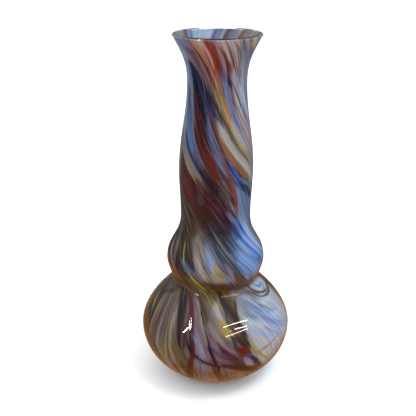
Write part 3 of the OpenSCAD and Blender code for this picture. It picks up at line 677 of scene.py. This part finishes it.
def linear(hex_colour):
    """An sRGB hex colour as linear red, green and blue."""
    srgb = np.array([int(hex_colour[i:i + 2], 16) for i in (0, 2, 4)]) / 255
    return np.where(srgb < 0.04045, srgb / 12.92, ((srgb + 0.055) / 1.055) ** 2.4)


GLASS_RGB = dict(zip(GLASSES.split()[::2], map(linear, GLASSES.split()[1::2])))

# ---------------------------------------------------------------- the outline and the swirl


def bezier(a, b, c, d, steps):
    """Points of a cubic Bezier curve after its first point."""
    t = (np.arange(1, steps + 1) / steps)[:, None]
    u = 1 - t
    a, b, c, d = (np.array(p, float) for p in (a, b, c, d))
    return u ** 3 * a + 3 * u * u * t * b + 3 * u * t * t * c + t ** 3 * d


def outline(n):
    """The outside from the axis under the foot to the lip, as [radius, height], and the place of
    the foot's outer edge in it."""
    up, out = np.array([0, 1.0]), np.array([1.0, 0])
    hollow, foot, lip = HOLLOW_R * out, FOOT_R * out, np.array([LIP_R, VASE_H])
    bulb, waist, knop = (np.array(p) for p in ((BULB_R, BULB_Z), (WAIST_R, WAIST_Z), (KNOP_R, KNOP_Z)))
    neck, belly, throat = (np.array(p) for p in ((NECK_R, NECK_Z), (BELLY_R, BELLY_Z), (THROAT_R, THROAT_Z)))
    flare = FLARE * np.array([math.cos(LIP_SLOPE), math.sin(LIP_SLOPE)])
    base = [[HOLLOW_D * up],
            bezier(HOLLOW_D * up, [HOLLOW_R * 0.45, HOLLOW_D], hollow - [6, 0.2], hollow, n // 2),
            bezier(hollow, hollow + 3 * out, foot - 3 * out, foot, 2)]
    wall = [bezier(foot, foot + [16, 3.5], bulb - BULB_LOW * up, bulb, n),
            bezier(bulb, bulb + BULB_HIGH * up, waist - up, waist, n),
            bezier(waist, waist + 3.6 * up, knop - 4.6 * up, knop, n),
            bezier(knop, knop + 17.5 * up, neck - 21 * up, neck, n),
            bezier(neck, neck + 15 * up, belly - 15 * up, belly, n),
            bezier(belly, belly + 28 * up, throat - 28 * up, throat, n),
            bezier(throat, throat + 20 * up, lip - flare, lip, n)]
    return np.vstack(base + wall), sum(len(part) for part in base) - 1


def normals(line):
    """The outward unit normal at each point of an outline."""
    along = np.vstack([line[1] - line[0], line[2:] - line[:-2], line[-1] - line[-2]])
    along /= np.linalg.norm(along, axis=1)[:, None]
    return np.stack([along[:, 1], -along[:, 0]], 1)


LINE, FOOT_INDEX = outline(60)
NORMALS = normals(LINE)
NORMALS[0] = (0, -1)
LENGTHS = np.concatenate([[0], np.cumsum(np.linalg.norm(np.diff(LINE, axis=0), axis=1))])
WALL_LINE, WALL_LENGTHS = LINE[FOOT_INDEX:], LENGTHS[FOOT_INDEX:]


def on_line(length):
    """Radius, height and outward normal at lengths along the outline."""
    values = [np.interp(length, LENGTHS, column) for column in (*LINE.T, *NORMALS.T)]
    size = np.hypot(values[2], values[3])
    return values[0], values[1], values[2] / size, values[3] / size


def length_at(height):
    """Length along the outline at heights above the foot."""
    return np.interp(height, WALL_LINE[:, 1], WALL_LENGTHS)


def catmull(points, steps):
    """A smooth path through the rows of points, in that many steps from one to the next."""
    p = np.array(points, float)
    p = np.vstack([2 * p[0] - p[1], p, 2 * p[-1] - p[-2]])
    t = (np.arange(steps) / steps)[:, None]
    pieces = [
        b + t * (c - a) / 2 + t ** 2 * (a - 2.5 * b + 2 * c - d / 2) + t ** 3 * (3 * (b - c) + d - a) / 2
        for a, b, c, d in zip(p, p[1:], p[2:], p[3:])]
    return np.vstack(pieces + [p[-2:-1]])


SWIRL_PATH = catmull(SWIRL, 12)


def turned(height):
    """How far the swirl has turned at heights above the foot, in degrees."""
    return np.interp(height, SWIRL_PATH[:, 0], SWIRL_PATH[:, 1])


def band_edge(i, height):
    """The angle at the foot of the flow line along the left edge of band i."""
    k = i % len(BANDS)
    start = BANDS[k][1] + 360 * (i // len(BANDS))
    return start + WANDER * np.sin(np.radians(360 * height / WANDER_H + 100 * k))


# ---------------------------------------------------------------- the colour of the wall

# The seeds of the noise. Each band, and each of the finest streaks, adds its own number.
BAND_SEED, FEATHER_SEED, FINE_SEED, SILK_SEED, RELIEF_SEED = 40, 7, 60, 3, 11
# How wide the soft joint between two bands is, in degrees.
BAND_BLEND = 3
# Above this length, just over the waist, the strokes' edges grow more feathered.
KNOP_LENGTH = length_at(92)
# How much of its width a thread is painted, how soft its edges are and how strong it is.
THREAD_SHARE, THREAD_SOFT, THREAD_STRENGTH = 0.75, 0.8, 0.9
# How strong the finest streaks and the silk are, and how far the colours are made more vivid.
FINE_STRENGTH, SILK, VIVID = 0.45, 0.16, 1.25
# The brightness that stays as it is, and how far the darker and the lighter glasses part from it.
MIDDLE, DARKEN, LIGHTEN = 0.15, 0.5, 0.08
BRIGHTEST = 0.9


def ripples(seed, flow, length, waves, shortest, longest, count=24):
    """Smooth noise from -1 to 1 in fine streaks: waves is the least and the most waves round the
    vase, shortest and longest are how far a streak runs along the wall."""
    rng = np.random.default_rng(seed)
    total = np.zeros_like(flow)
    for _ in range(count):
        around = rng.integers(waves[0], waves[1])
        run = 2 * math.pi / rng.uniform(shortest, longest) * rng.choice((-1, 1))
        total += np.sin(np.radians(around * flow) + run * length + rng.uniform(0, 2 * math.pi))
    return np.clip(total / math.sqrt(count), -2, 2) / 2


def smooth(x):
    """A soft step from 0 to 1 as x goes from 0 to 1."""
    x = np.clip(x, 0, 1)
    return x * x * (3 - 2 * x)


def base_colour(flow, height, length):
    """The streaky colour of the bands before anything is drawn over them."""
    colour = np.zeros(flow.shape + (3,))
    for i, (_, _, glasses) in enumerate(BANDS):
        left, right = band_edge(i, height), band_edge(i + 1, height)
        middle, half = (left + right) / 2, (right - left) / 2
        away = np.abs((flow - middle + 180) % 360 - 180)
        share = smooth((half + BAND_BLEND / 2 - away) / BAND_BLEND)[..., None]
        pick = ripples(BAND_SEED + i, flow, length, (9, 40), 60, 220)
        first, second, third = (GLASS_RGB[g] for g in glasses)
        second_share = smooth(pick * 2.2 - 0.1)[..., None]
        third_share = smooth(-pick * 2.2 - 0.2)[..., None]
        mixed = first + second_share * (second - first) + third_share * (third - first)
        colour += share * (mixed - colour)
    return colour


def draw(colour, angle, length, radius, flow, glass, width, soft, strength, points):
    """Draws one stroke into the colours of the points at those angles and lengths."""
    path = catmull([(p[0], length_at(p[1]), p[2] if len(p) > 2 else 1) for p in points], 10)
    middle = (path[:, 0].min() + path[:, 0].max()) / 2
    angle = (angle - middle + 180) % 360 - 180 + middle
    reach = width / 2 + 2.5 * soft + 3  # nothing of it shows further away than this
    spread = np.degrees(reach / radius)
    near = (angle > path[:, 0].min() - spread) & (angle < path[:, 0].max() + spread)
    near &= (length > path[:, 1].min() - reach) & (length < path[:, 1].max() + reach)
    if not near.any():
        return
    a, s, r = angle[near], length[near], np.radians(radius[near])
    least = np.full(a.shape, 1e9)
    for i in range(len(path) - 1):
        (a0, s0, w0), (a1, s1, w1) = path[i], path[i + 1]
        across, along = (a1 - a0) * r, s1 - s0
        dx, dy = (a - a0) * r, s - s0
        t = np.clip((dx * across + dy * along) / (across ** 2 + along ** 2 + 1e-9), 0, 1)
        part = (i + t) / (len(path) - 1)
        taper = np.sqrt(np.sin(math.pi * np.clip(part, 0.02, 0.98)))
        half = width / 2 * (w0 + t * (w1 - w0)) * taper
        gap = np.hypot(dx - t * across, dy - t * along) - half
        least = np.minimum(least, gap)
    feather = ripples(FEATHER_SEED, flow[near], s, (50, 170), 30, 90)
    feather *= 0.25 + 0.75 * smooth((s - KNOP_LENGTH) / 50)
    cover = strength * smooth(0.5 - (least + soft * 0.9 * feather) / (2 * soft))
    colour[near] += cover[:, None] * (GLASS_RGB[glass] - colour[near])


def glass_colour(angle, length):
    """The colour of the glass at angles round the wall and lengths up the outline."""
    radius, height, _, _ = on_line(length)
    flow = angle + turned(height)
    colour = base_colour(flow, height, length)
    for glass, width, soft, strength, points in STROKES + DETAILS:
        points = [(p[0] + BACK_TURN, p[1] - BACK_DROP) for p in points]
        glass = BACK_GLASS.get(glass, glass)
        draw(colour, angle, length, radius, flow, glass, width, soft, strength, points)
    for stroke in STROKES:
        draw(colour, angle, length, radius, flow, *stroke)
    for glass, path in THREADS.values():
        widest = max(w for _, _, w in path)
        draw(colour, angle, length, radius, flow, glass, THREAD_SHARE * widest, THREAD_SOFT,
             THREAD_STRENGTH, [(a, h, w / widest) for a, h, w in path])
    for stroke in DETAILS:
        draw(colour, angle, length, radius, flow, *stroke)
    for i, (glass, share) in enumerate(FINE):
        fine = smooth(2.2 * ripples(FINE_SEED + i, flow, length, (40, 150), 50, 160) - 0.9)
        fine *= 0.2 + 0.8 * smooth((height - 70) / 50)  # they are faint on the bulb
        colour += FINE_STRENGTH * share * fine[..., None] * (GLASS_RGB[glass] - colour)
    silk = ripples(SILK_SEED, flow, length, (60, 190), 50, 160)
    colour = np.clip(colour * (1 + SILK * silk[..., None]), 0, 1)
    grey = colour.mean(-1, keepdims=True)
    vivid = np.clip(grey + VIVID * (colour - grey), 0, 1)
    power = np.where(grey < MIDDLE, DARKEN, LIGHTEN)
    return np.clip(vivid * (grey / MIDDLE) ** power, 0, BRIGHTEST)


# ---------------------------------------------------------------- meshes

LEAN, LEAN_FROM = 1.6, 120  # how far the mouth leans towards +X, and the height where that starts
RELIEF = 0.02  # how high the waves in the surface are
# How deep a thread's edges lie in the bands, how far its middle swells and how deep it reaches.
THREAD_SINK, THREAD_SWELL, THREAD_DEEP = 0.05, 0.1, 0.35
BAND_ROWS, BAND_CELL = 230, 0.75  # points up a band, and degrees between points across it
TURNS, LIP_STEPS = 192, 19  # points round the clear body, and over its lip
SHARP = math.radians(40)
FLOW_SCALE = 45  # millimetres on the wall for a radian of flow, near enough
TOP = length_at(VASE_H - LIP_H - END_GAP)


def place(angle, radius, height):
    """Points in metres at angles round the vase, distances from its axis and heights."""
    lean = LEAN * smooth((height - LEAN_FROM) / (VASE_H - LEAN_FROM))
    turn = np.radians(angle)
    return np.stack([radius * np.sin(turn) + lean, -radius * np.cos(turn), height], -1) * MM


def wall_place(angle, length, depth):
    """Points in metres at depths below the outside of the wall."""
    radius, height, out, up = on_line(length)
    return place(angle, radius - depth * out, height - depth * up)


def new_piece(name, points, faces):
    """A smooth-shaded mesh object with its sharp edges left sharp."""
    mesh = bpy.data.meshes.new(name)
    mesh.from_pydata(points.reshape(-1, 3).tolist(), [], faces)
    mesh.shade_smooth()
    mesh.set_sharp_from_angle(angle=SHARP)
    piece = bpy.data.objects.new(name, mesh)
    bpy.context.scene.collection.objects.link(piece)
    return piece


def add_attribute(piece, name, kind, values):
    """Stores a value of that kind for each vertex."""
    layer = piece.data.attributes.new(name, kind, "POINT")
    key = "color" if kind == "FLOAT_COLOR" else "vector"
    layer.data.foreach_set(key, np.ascontiguousarray(values, np.float32).ravel())


def grid_faces(rows, columns, first=0):
    """Quads over a grid of points that starts at a place in the vertex list."""
    corner = first + np.arange(rows - 1)[:, None] * columns + np.arange(columns - 1)[None]
    quads = np.stack([corner, corner + 1, corner + columns + 1, corner + columns], -1)
    return quads.reshape(-1, 4)


def coloured_sheet(name, angle, length, outer_depth, inner_depth):
    """A closed sheet of coloured glass over a grid of angles and lengths, between two depths."""
    rows, columns = angle.shape
    count = rows * columns
    points = np.concatenate([wall_place(angle, length, depth).reshape(-1, 3)
                             for depth in (outer_depth, inner_depth)])
    outer = grid_faces(rows, columns)
    inner = grid_faces(rows, columns, count)[:, ::-1]
    index = np.arange(count).reshape(rows, columns)
    rim = np.concatenate([index[0, :-1], index[:-1, -1], index[-1, :0:-1], index[:0:-1, 0]])
    after = np.roll(rim, -1)
    sides = np.stack([after, rim, rim + count, after + count], -1)
    piece = new_piece(name, points, np.vstack([outer, inner, sides]).tolist())
    colour = glass_colour(angle, length).reshape(-1, 3)
    colour = np.concatenate([colour, np.ones((count, 1))], 1)
    _, height, _, _ = on_line(length)
    flow = np.radians(angle + turned(height)) * FLOW_SCALE
    coordinate = np.stack([flow, length, 0 * flow], -1).reshape(-1, 3)
    add_attribute(piece, "glass_colour", "FLOAT_COLOR", np.vstack([colour, colour]))
    add_attribute(piece, "flow", "FLOAT_VECTOR", np.vstack([coordinate, coordinate]))
    return piece


def relief(flow, length):
    """How far the glass stands above its even surface, in slight waves along the flow."""
    return RELIEF * ripples(RELIEF_SEED, flow, length, (12, 50), 60, 160)


def make_band(i):
    """One twisted band of colour from the foot to the lip."""
    name = BANDS[i][0]
    length = np.linspace(WALL_LENGTHS[0] + END_GAP, TOP, BAND_ROWS)[:, None]
    _, height, _, _ = on_line(length)
    columns = round((band_edge(i + 1, 0) - band_edge(i, 0))[()] / BAND_CELL) + 1
    across = np.linspace(0, 1, columns)[None]
    left, right = band_edge(i, height), band_edge(i + 1, height)
    flow = left + across * (right - left)
    length = length + 0 * across
    depth = BAND_AT - relief(flow, length)
    return coloured_sheet(f"{name}_band_glass", flow - turned(height), length, depth, BAND_AT + BAND_T)


def make_thread(name):
    """One thread or shard, set into the bands, which swells out along its middle."""
    _, path = THREADS[name]
    path = catmull([(a, length_at(h), w) for a, h, w in path], 14)
    widest = path[:, 2].max()
    columns = 9 + 2 * round(widest)
    side = np.linspace(-1, 1, columns)[None]
    radius, _, _, _ = on_line(path[:, 1])
    per_degree = np.radians(radius)
    along = np.gradient(path[:, :2], axis=0)
    along[:, 0] *= per_degree
    along /= np.linalg.norm(along, axis=1)[:, None]
    half = path[:, 2:3] / 2
    angle = path[:, 0:1] + side * half * along[:, 1:] / per_degree[:, None]
    length = path[:, 1:2] - side * half * along[:, :1]
    swell = (1 - side ** 2) * np.minimum(1, half / 0.9)
    flow = angle + turned(on_line(length)[1])
    depth = BAND_AT + THREAD_SINK - relief(flow, length) - THREAD_SWELL * swell
    return coloured_sheet(f"{name}_glass", angle, length, depth, BAND_AT + THREAD_DEEP)


def make_body():
    """The clear glass that carries the colour: ground foot, heavy heel and rounded lip."""
    low = np.clip(1 - LINE[:, 1] / HEEL_H, 0, 1)
    inside = LINE - (WALL_T + HEEL_T * smooth(low))[:, None] * NORMALS
    under = LINE - (BAND_AT + BAND_T / 2) * NORMALS
    lip_in = inside[-1, 0]
    lip_round = (LIP_R - lip_in) / 2
    lip_z = VASE_H - lip_round
    turn = np.radians(np.linspace(0, 180, LIP_STEPS))
    lip = np.stack([lip_in + lip_round * (1 + np.cos(turn)), lip_z + lip_round * np.sin(turn)], -1)
    under = under[FOOT_INDEX + 2:]
    under = under[under[:, 1] < VASE_H - LIP_H - END_GAP]
    inside = inside[inside[:, 1] < lip_z]
    section = np.vstack([LINE[:FOOT_INDEX + 1], under, lip, inside[::-1]])
    section[[0, -1], 0] = 0
    angle = np.arange(TURNS)[None] * 360 / TURNS
    rings = place(angle, section[1:-1, :1], section[1:-1, 1:] + 0 * angle)
    poles = place(np.zeros(2), section[[0, -1], 0], section[[0, -1], 1])
    points = np.concatenate([rings.reshape(-1, 3), poles])
    count = len(section) - 2
    here = np.arange(count - 1)[:, None] * TURNS + np.arange(TURNS)[None]
    beside = np.arange(count - 1)[:, None] * TURNS + (np.arange(TURNS)[None] + 1) % TURNS
    faces = np.stack([here, beside, beside + TURNS, here + TURNS], -1).reshape(-1, 4).tolist()
    last = (count - 1) * TURNS
    for k in range(TURNS):
        after = (k + 1) % TURNS
        faces.append([after, k, count * TURNS])
        faces.append([last + k, last + after, count * TURNS + 1])
    return new_piece("clear_body_glass", points, faces)


# ---------------------------------------------------------------- materials


class Nodes:
    """A material's node tree, with short ways to add and join nodes."""

    def __init__(self, name):
        self.material = bpy.data.materials.new(name)
        self.material.use_nodes = True
        self.tree = self.material.node_tree
        self.tree.nodes.clear()

    def add(self, kind, inputs=(), **settings):
        """A new node, with each input joined to a socket or set to a value."""
        node = self.tree.nodes.new("ShaderNode" + kind)
        for key, value in settings.items():
            setattr(node, key, value)
        for key, value in dict(inputs).items():
            if isinstance(value, bpy.types.NodeSocket):
                self.tree.links.new(value, node.inputs[key])
            else:
                node.inputs[key].default_value = value
        return node

    def streaks(self, flow, across, along, seed):
        """Noise stretched along the flow: across and along are its scale in millimetres."""
        placed = self.add("Mapping", {"Vector": flow, "Location": (seed, seed * 2.3, seed),
                                      "Scale": (1 / across, 1 / along, 1)})
        noise = self.add("TexNoise", {"Vector": placed.outputs[0], "Scale": 1, "Detail": 3,
                                      "Roughness": 0.6})
        return noise.outputs["Fac"]

    def spread(self, value, low, high):
        """The value's middle range, stretched to run from low to high."""
        return self.add("MapRange", {"Value": value, "From Min": 0.3, "From Max": 0.7,
                                     "To Min": low, "To Max": high}).outputs[0]


GLASS_IOR, THROUGH = 1.5, 0.3  # THROUGH is how much of the coloured glass lets light through


def coloured_glass(slot, seed):
    """Streaky coloured glass under a fire-polished surface, which lets some light through."""
    n = Nodes(slot)
    flow = n.add("Attribute", attribute_name="flow").outputs["Vector"]
    painted = n.add("Attribute", attribute_name="glass_colour").outputs["Color"]
    silk = n.spread(n.streaks(flow, 0.45, 34, seed), 0.8, 1.22)
    veil = n.spread(n.streaks(flow, 2.5, 60, seed + 5), 0.88, 1.14)
    shade = n.add("Math", {0: silk, 1: veil}, operation="MULTIPLY").outputs[0]
    tint = n.add("VectorMath", {0: painted, 1: shade}, operation="MULTIPLY").outputs[0]
    rough = n.spread(n.streaks(flow, 6, 40, seed + 9), 0.02, 0.07)
    bump = n.add("Bump", {"Height": n.streaks(flow, 1.5, 50, seed + 2), "Strength": 0.06,
                          "Distance": 0.1 * MM})
    gloss = n.add("BsdfPrincipled", {"Base Color": tint, "Roughness": rough, "IOR": GLASS_IOR,
                                     "Coat Weight": 1, "Coat Roughness": 0.02,
                                     "Coat Tint": (0.95, 0.92, 0.9, 1), "Normal": bump.outputs[0]})
    through = n.add("BsdfTranslucent", {"Color": tint})
    both = n.add("MixShader", {0: THROUGH, 1: gloss.outputs[0], 2: through.outputs[0]})
    n.add("OutputMaterial", {"Surface": both.outputs[0]})
    return n.material


def clear_glass():
    """Clear glass with a faint grey cast."""
    n = Nodes("clear_glass")
    glass = n.add("BsdfPrincipled", {"Base Color": (0.78, 0.82, 0.85, 1), "Roughness": 0.02,
                                     "IOR": GLASS_IOR, "Transmission Weight": 1})
    n.add("OutputMaterial", {"Surface": glass.outputs[0]})
    return n.material


# ---------------------------------------------------------------- the vase


def finish_piece(piece, node, material):
    """Gives a piece its material, hangs it under the root body and hides the CAD node given."""
    piece.data.materials.append(material)
    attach(piece, "root")
    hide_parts(node)


for i, (name, _, _) in enumerate(BANDS):
    slot = f"{name}_glass"
    finish_piece(make_band(i), f"{name}_band", coloured_glass(slot, i))
for i, name in enumerate(THREADS):
    slot = f"{name}_glass"
    finish_piece(make_thread(name), name, coloured_glass(slot, len(BANDS) + i))
body = make_body()
body.visible_shadow = False
finish_piece(body, "clear_body", clear_glass())

# ---------------------------------------------------------------- the stage, in metres

FLOOR_HALF, WALL_R, WALL_TOP, TABLE_R, RING_STEPS = 30, 12, 20, 0.35, 48
FLOOR_Z = CAD_LOW[2] * MM - 0.0002
TABLE_Z = FLOOR_Z + 0.0001
WARM, ROOM_LOW, ROOM_HIGH = (0.45, 0.2, 0.07, 1), (0.13, 0.13, 0.15, 1), (0.42, 0.44, 0.48, 1)
CARD_GREY, WHITE = (0.4, 0.42, 0.46, 1), (1, 1, 1, 1)

scene = bpy.context.scene
scene.view_settings.view_transform = "Standard"


def stage_piece(name, points, faces, shader, colour):
    """A part of the stage, with a plain material of one colour."""
    mesh = bpy.data.meshes.new(name)
    mesh.from_pydata(points, [], faces)
    thing = bpy.data.objects.new(name, mesh)
    scene.collection.objects.link(thing)
    n = Nodes(name)
    surface = n.add(shader, {"Color": colour})
    n.add("OutputMaterial", {"Surface": surface.outputs[0]})
    mesh.materials.append(n.material)
    return thing


def backdrop(name, points, faces, colour):
    """A part of the stage that gives off an even light of its own, for the camera and the gloss."""
    thing = stage_piece(name, points, faces, "Emission", colour)
    for ray in ("diffuse", "transmission", "shadow", "volume_scatter"):
        setattr(thing, "visible_" + ray, False)
    return thing


def ring(radius, height):
    """Points round a circle about the vase's axis."""
    turns = [2 * math.pi * i / RING_STEPS for i in range(RING_STEPS)]
    return [(radius * math.cos(a), radius * math.sin(a), height) for a in turns]


def outwards(azimuth, elevation):
    """The direction at an azimuth from the front round to +X and an elevation, in degrees."""
    a, e = math.radians(azimuth), math.radians(elevation)
    return Vector((math.sin(a) * math.cos(e), -math.cos(a) * math.cos(e), math.sin(e)))


corners = [(x * FLOOR_HALF, y * FLOOR_HALF, 0) for x, y in ((-1, -1), (1, -1), (1, 1), (-1, 1))]
floor = stage_piece("floor", corners, [(0, 1, 2, 3)], "BsdfDiffuse", (0.9, 0.9, 0.9, 1))
floor.location.z = FLOOR_Z
floor.visible_glossy = False

# White walls a long way off, which only the camera sees, and a warm top that only the gloss sees.
walls = backdrop("walls", ring(WALL_R, -1) + ring(WALL_R, WALL_TOP),
                 [(i, (i + 1) % RING_STEPS, RING_STEPS + (i + 1) % RING_STEPS, RING_STEPS + i)
                  for i in range(RING_STEPS)], WHITE)
walls.visible_glossy = False
table = backdrop("table", ring(TABLE_R, TABLE_Z), [tuple(range(RING_STEPS))], WARM)
table.visible_camera = False

# Small cards close to the knop, which keep the strip lamps out of its gloss.
CARD_AT, CARD_AWAY = Vector((0, 0, 0.128)), 0.091
for name, azimuth, elevation, width, height in (("right_card", 30, 17, 0.076, 0.03),
                                                ("left_card", -41, 15, 0.03, 0.034)):
    out, turn = outwards(azimuth, elevation), math.radians(azimuth)
    across = Vector((math.cos(turn), math.sin(turn), 0)) * width / 2
    up = out.cross(across).normalized() * height / 2
    middle = CARD_AT + out * CARD_AWAY
    card = backdrop(name, [middle + across + up, middle - across + up, middle - across - up,
                           middle + across - up], [(0, 1, 2, 3)], CARD_GREY)
    card.visible_camera, card.visible_shadow = False, True

# The room that the gloss reflects: dim low down, lighter high up.
world = bpy.data.worlds.new("studio")
scene.world = world
world.use_nodes = True
tree = world.node_tree
where = tree.nodes.new("ShaderNodeTexCoord")
high = tree.nodes.new("ShaderNodeSeparateXYZ")
room = tree.nodes.new("ShaderNodeValToRGB")
tree.links.new(where.outputs["Generated"], high.inputs[0])
tree.links.new(high.outputs["Z"], room.inputs[0])
tree.links.new(room.outputs[0], tree.nodes["Background"].inputs["Color"])
for element, position, colour in zip(room.color_ramp.elements, (0, 0.5), (ROOM_LOW, ROOM_HIGH)):
    element.position, element.color = position, colour


def lamp_at(name, kind, at, aim, power, colour=(1, 1, 1)):
    """A lamp at a place that faces another."""
    lamp = bpy.data.lights.new(name, kind)
    lamp.energy = power
    lamp.color = colour
    thing = bpy.data.objects.new(name, lamp)
    thing.location = at
    thing.rotation_euler = (Vector(aim) - Vector(at)).to_track_quat("-Z", "Y").to_euler()
    scene.collection.objects.link(thing)
    return thing


# Wide even light, which shows no shape of its own in the gloss.
for name, at, power, spread in (("top_light", (0, 0, 3), 2.2, 170),
                                ("front_light", (-1, -3, 2), 1.1, 120),
                                ("back_light", (1, 3, 2), 0.6, 120)):
    sun = lamp_at(name, "SUN", at, (0, 0, 0), power)
    sun.data.angle = math.radians(spread)
    sun.visible_glossy = False

# Thin lamps that only show as bright lines in the gloss: the directions of their two ends from
# the middle of the bulb, as azimuth and elevation.
BULB, STRIP_AWAY, STRIP_POWER, STRIP_T = Vector((0, 0, 0.07)), 2, 3, 0.024
for name, start, end in (("strip_a", (16, 40), (62, 35)), ("strip_b", (34, 34), (57, 30)),
                         ("strip_c", (16, 27), (58, 27)), ("strip_d", (-53, 41), (-47, 33)),
                         ("strip_e", (-47, 33), (-53, 22))):
    start, end = (outwards(*to) * STRIP_AWAY + BULB for to in (start, end))
    strip = lamp_at(name, "AREA", (start + end) / 2, BULB, STRIP_POWER)
    strip.data.shape = "RECTANGLE"
    strip.data.size, strip.data.size_y = (end - start).length, STRIP_T
    along = (end - start).normalized()
    facing = ((start + end) / 2 - BULB).normalized()
    strip.rotation_euler = Matrix((along, facing.cross(along), facing)).transposed().to_euler()
    strip.visible_diffuse = False

# Cool light from above, to the right of the camera.
window = lamp_at("window", "AREA", (0.6, -0.45, 1.55), (0, 0, 0.3), 12, (0.8, 0.9, 1))
window.data.shape = "SQUARE"
window.data.size = 0.5
window.visible_glossy = False

# The camera, fitted to the photo's view of the outline and the mouth.
CAMERA_AT, CAMERA_DOWN, CAMERA_LENS = (0, -0.52, 0.3664), 22.2, 57
CAMERA_SHIFT, PHOTO_WIDTH = -7.4, 416
camera_data = bpy.data.cameras.new("camera")
camera_data.sensor_width = 36
camera_data.lens = CAMERA_LENS
camera_data.shift_x = CAMERA_SHIFT / PHOTO_WIDTH
camera_data.clip_start = 0.01
camera = bpy.data.objects.new("camera", camera_data)
camera.location = CAMERA_AT
camera.rotation_euler = (math.radians(90 - CAMERA_DOWN), 0, 0)
scene.collection.objects.link(camera)
scene.camera = camera
